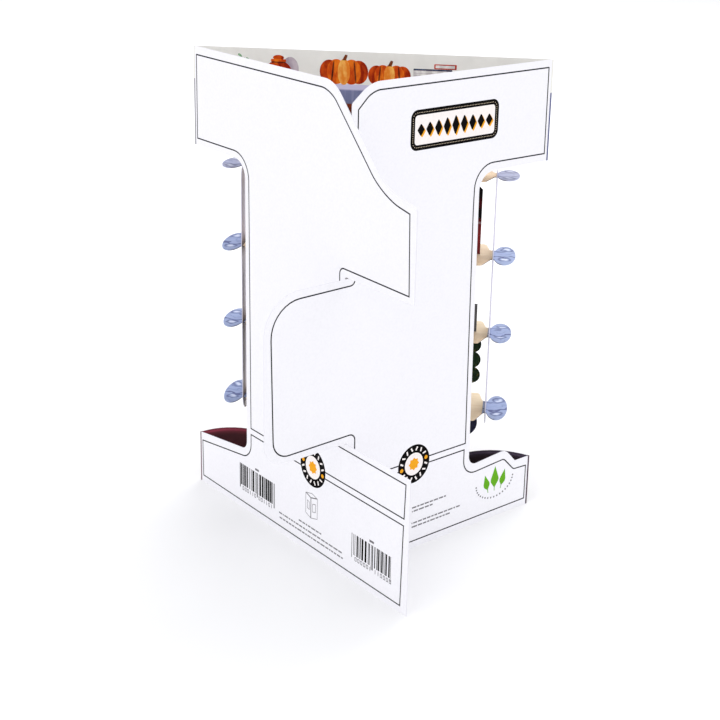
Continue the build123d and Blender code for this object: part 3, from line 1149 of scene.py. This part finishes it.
class CARD_OT_stage(bpy.types.Operator):
    """Set up the camera, the lights and the pale floor"""

    bl_idname = "greeting_card.stage"
    bl_label = "Stage"

    # Camera
    PLACE = Vector((0.07640, -0.61468, 0.32745))
    HEADING, PITCH, ROLL = math.radians(6.79), math.radians(18.65), math.radians(1.15)
    DROP = 55.68 / 720  # how far the picture's centre lies below the optical axis
    AIM = Vector((0, 0, 0.1))  # where the lights point
    # Floor: its ends behind the camera and behind the card, half its width, the height of
    # the backdrop and the radius of the bend between them
    NEAR, FAR, HALF, HEIGHT, BEND = -3.0, 6.0, 6.0, 5.0, 1.5

    def execute(self, context):
        stage = context.scene.card_stage
        self.camera(context, stage)
        for name, watts, place in (
            ("key_light", stage.key_power, (-0.9, -1.1, 1.5)),
            ("fill_light", stage.fill_power, (1.15, -0.5, 1.4)),
            ("rear_light", stage.rear_power, (0.4, 1.3, 1.3)),
        ):
            self.light(name, watts, place, stage.lamp_size)
        self.sky(context, stage)
        self.floor(stage)
        context.scene.view_settings.view_transform = "Standard"
        return {"FINISHED"}

    def camera(self, context, stage):
        """The photograph's camera, turned by its heading, pitch and roll."""
        view = bpy.data.cameras.new("camera")
        view.sensor_width = 36
        view.lens = stage.lens
        view.shift_y = -self.DROP
        view.clip_start, view.clip_end = 0.01, 50
        camera = placed("camera", view)
        place = Matrix.Translation(self.PLACE)
        for angle, axis in ((self.HEADING, "Z"), (math.pi / 2 - self.PITCH, "X"), (self.ROLL, "Z")):
            place = place @ Matrix.Rotation(angle, 4, axis)
        camera.matrix_world = place
        context.scene.camera = camera

    def light(self, name, watts, place, size):
        """A round soft light that points at the card's middle."""
        lamp = bpy.data.lights.new(name, "AREA")
        lamp.shape, lamp.size, lamp.energy = "DISK", size, watts
        holder = placed(name, lamp)
        holder.location = place
        aim = self.AIM - holder.location
        holder.rotation_euler = aim.to_track_quat("-Z", "Y").to_euler()

    def sky(self, context, stage):
        """Even light from all sides, and plain white where the world itself is seen."""
        world = bpy.data.worlds.new("studio")
        world.use_nodes = True
        context.scene.world = world
        nodes = Nodes(world.node_tree)
        even = nodes.node("ShaderNodeBackground", inputs={0: (0.97, 0.975, 1.0), 1: stage.sky})
        white = nodes.node("ShaderNodeBackground", inputs={0: (1, 1, 1), 1: 1.0})
        both = nodes.where_seen(even, white)
        nodes.node("ShaderNodeOutputWorld", inputs={0: both}, output=None)

    def floor(self, stage):
        """A floor that bends up into a backdrop far behind."""
        shape = bmesh.new()
        corners = ((self.NEAR, 0), (self.FAR, 0), (self.FAR, self.HEIGHT))
        line = [shape.verts.new((-self.HALF, y, z)) for y, z in corners]
        for pair in zip(line, line[1:]):
            shape.edges.new(pair)
        round_corner(shape, line[1], self.BEND, 16)
        moved = bmesh.ops.extrude_edge_only(shape, edges=shape.edges[:])["geom"]
        bmesh.ops.translate(shape, vec=(2 * self.HALF, 0, 0), verts=only_points(moved))
        bmesh.ops.recalc_face_normals(shape, faces=shape.faces)
        for face in shape.faces:
            face.smooth = True
        mesh = as_mesh("floor", shape)
        floor = placed("floor", mesh)
        mesh.materials.append(floor_finish(stage))


class CARD_PT_panel(bpy.types.Panel):
    """The card's pieces and settings in the sidebar"""

    bl_label = "Greeting card"
    bl_idname = "CARD_PT_panel"
    bl_space_type = "VIEW_3D"
    bl_region_type = "UI"
    bl_category = "Card"

    def draw(self, context):
        for operator in OPERATORS:
            self.layout.operator(operator.bl_idname)
        for name, group in GROUPS.items():
            box = self.layout.box()
            box.label(text=name.capitalize())
            for key in group.__annotations__:
                box.prop(getattr(context.scene, "card_" + name), key)


GROUPS = {
    "sheet": SheetSettings,
    "wall": WallSettings,
    "shelf": ShelfSettings,
    "print": PrintSettings,
    "stage": StageSettings,
}
OPERATORS = (
    CARD_OT_sheet, CARD_OT_side_walls, CARD_OT_shelves, CARD_OT_outlines, CARD_OT_plate,
    CARD_OT_base_marks, CARD_OT_pictures, CARD_OT_stage,
)


def register():
    for kind in (*GROUPS.values(), *OPERATORS, CARD_PT_panel):
        bpy.utils.register_class(kind)
    for name, group in GROUPS.items():
        setattr(bpy.types.Scene, "card_" + name, PointerProperty(type=group))


def unregister():
    for name in GROUPS:
        delattr(bpy.types.Scene, "card_" + name)
    for kind in (CARD_PT_panel, *reversed(OPERATORS), *GROUPS.values()):
        bpy.utils.unregister_class(kind)


def main():
    register()
    bpy.ops.greeting_card.stage()
    bpy.ops.greeting_card.sheet()
    bpy.ops.greeting_card.side_walls()
    bpy.ops.greeting_card.shelves()
    bpy.ops.greeting_card.outlines()
    bpy.ops.greeting_card.plate()
    bpy.ops.greeting_card.base_marks()
    bpy.ops.greeting_card.pictures()


if __name__ == "__main__":
    main()
